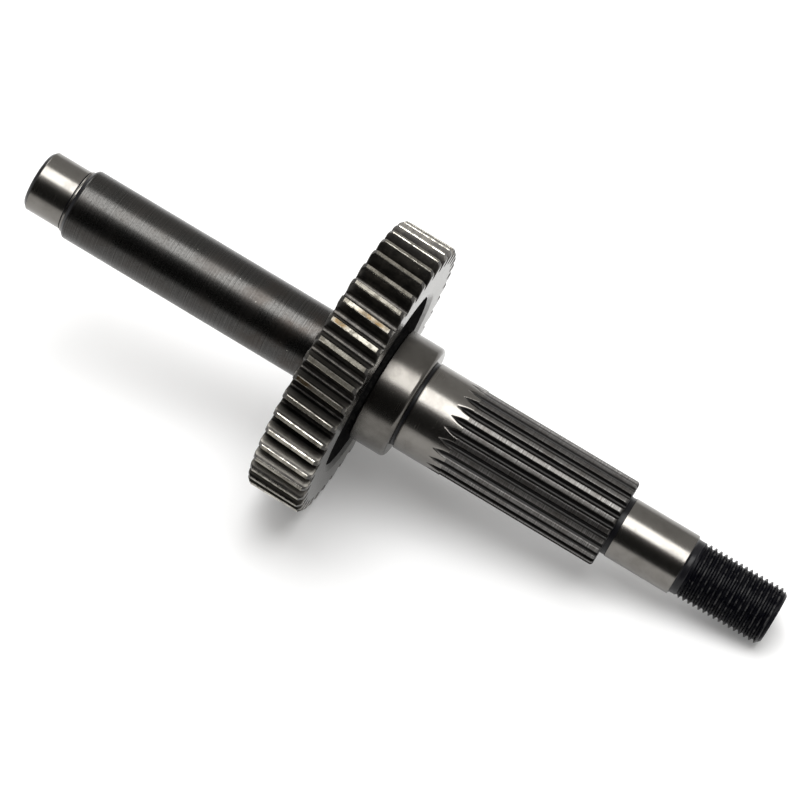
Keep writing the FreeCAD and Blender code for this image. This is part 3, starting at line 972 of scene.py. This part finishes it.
for face_at, web_at in ((GEAR_NEAR, GEAR_NEAR + WEB_DEPTH), (GEAR_FAR, GEAR_FAR - WEB_DEPTH)):
    join_rings(open_ring(face_at, WEB_RIM), open_ring(web_at, WEB_EDGE), faced_steel)
join_rings(open_ring(RELIEF_RING, RELIEF), open_ring(THREAD_SKIN_START, RELIEF), oxide_and_shade_steel)
join_rings(open_ring(THREAD_END, THREAD - THREAD_CHAMFER), open_ring(THREAD_END, CONE_RADIUS), oxide_and_shade_steel)
bmesh.ops.recalc_face_normals(steel, faces=steel.faces)
for face in steel.faces:
    face.smooth = True
for edge in steel.edges:
    if len(edge.link_faces) == 2 and edge.calc_face_angle() > SHARP:
        edge.smooth = False

resting_tooth = (gear_width / 2 - GEAR_CHAMFER) * math.tan(HELIX) / PITCH_RADIUS
roll = math.pi - resting_tooth + SPLINE_TURN
lie_down = Matrix.Translation(plain_end) @ Matrix.Rotation(tilt, 4, "Y") @ Matrix.Rotation(roll, 4, "X")
steel.transform(lie_down)

skin = bpy.data.meshes.new("output_shaft_finished")
steel.to_mesh(skin)
steel.free()
for material in finishes:
    skin.materials.append(material)
shaft = bpy.data.objects.new("output_shaft_finished", skin)
bpy.context.scene.collection.objects.link(shaft)
shading = shaft.modifiers.new("even_shading", "WEIGHTED_NORMAL")
shading.keep_sharp = True
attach(shaft, "root")
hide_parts("output_shaft")

# Floor, light and camera
# A white floor under one large soft lamp and a weaker one behind, in a room that is pale everywhere but
# on the camera's side, which gives the bright steel its dark band.

FLOOR_WHITE = 0.8
FLOOR_GLOW = 0.14

floor_mesh = bpy.data.meshes.new("floor")
floor_shape = bmesh.new()
bmesh.ops.create_grid(floor_shape, x_segments=1, y_segments=1, size=4)
floor_shape.to_mesh(floor_mesh)
floor_shape.free()
floor = bpy.data.objects.new("floor", floor_mesh)
bpy.context.scene.collection.objects.link(floor)
floor_paint = bpy.data.materials.new("floor")
floor_paint.use_nodes = True
floor_tree = floor_paint.node_tree
floor_shader = floor_tree.nodes["Principled BSDF"].inputs
floor_shader["Base Color"].default_value = (FLOOR_WHITE, FLOOR_WHITE, FLOOR_WHITE, 1)
floor_shader["Roughness"].default_value = 0.9
floor_shader["Specular IOR Level"].default_value = 0.1
rays = add_node(floor_tree, "LightPath").outputs
seen = combine(floor_tree, "MAXIMUM", rays["Is Camera Ray"], rays["Is Glossy Ray"])
seen = combine(floor_tree, "MAXIMUM", seen, rays["Is Transmission Ray"])
floor_shader["Emission Color"].default_value = (1, 1, 1, 1)
floor_tree.links.new(combine(floor_tree, "MULTIPLY", seen, FLOOR_GLOW), floor_shader["Emission Strength"])
floor_mesh.materials.append(floor_paint)

world = bpy.data.worlds.new("studio")
bpy.context.scene.world = world
world.use_nodes = True
sky = world.node_tree
facing = add_node(sky, "SeparateXYZ", {0: add_node(sky, "TexCoord").outputs["Generated"]}).outputs["Y"]
level = ramp(sky, facing, -0.62, -0.38, 0.03, 0.62)
sky.links.new(level, sky.nodes["Background"].inputs["Strength"])
sky.nodes["Background"].inputs["Color"].default_value = (1, 0.985, 0.96, 1)


def area_light(name, place, target, width, height, power):
    """A soft rectangular lamp, turned to its target."""
    light = bpy.data.lights.new(name, "AREA")
    light.shape = "RECTANGLE"
    light.size = width
    light.size_y = height
    light.energy = power
    lamp = bpy.data.objects.new(name, light)
    lamp.location = place
    lamp.rotation_euler = (Vector(target) - Vector(place)).to_track_quat("-Z", "Y").to_euler()
    bpy.context.scene.collection.objects.link(lamp)


area_light("overhead", place=(0.17, -0.06, 1.08), target=(0, 0, 0.03), width=0.66, height=0.8, power=11.5)
area_light("window", place=(-0.6, 0.66, 0.82), target=(0, 0, 0.03), width=0.6, height=0.6, power=4.5)

CAMERA_PLACE = Vector((0.2677, -0.5248, 0.7527))
CAMERA_RIGHT = Vector((0.8868, 0.4621, 0.0061))
CAMERA_UP = Vector((-0.3607, 0.6839, 0.6343))
camera_data = bpy.data.cameras.new("camera")
camera_data.lens = 162
camera_data.sensor_width = 36
camera = bpy.data.objects.new("camera", camera_data)
back = CAMERA_RIGHT.cross(CAMERA_UP)
camera.matrix_world = Matrix.Translation(CAMERA_PLACE) @ Matrix(
    (CAMERA_RIGHT, CAMERA_UP, back)
).transposed().to_4x4()
bpy.context.scene.collection.objects.link(camera)
bpy.context.scene.camera = camera
bpy.context.scene.view_settings.view_transform = "Standard"
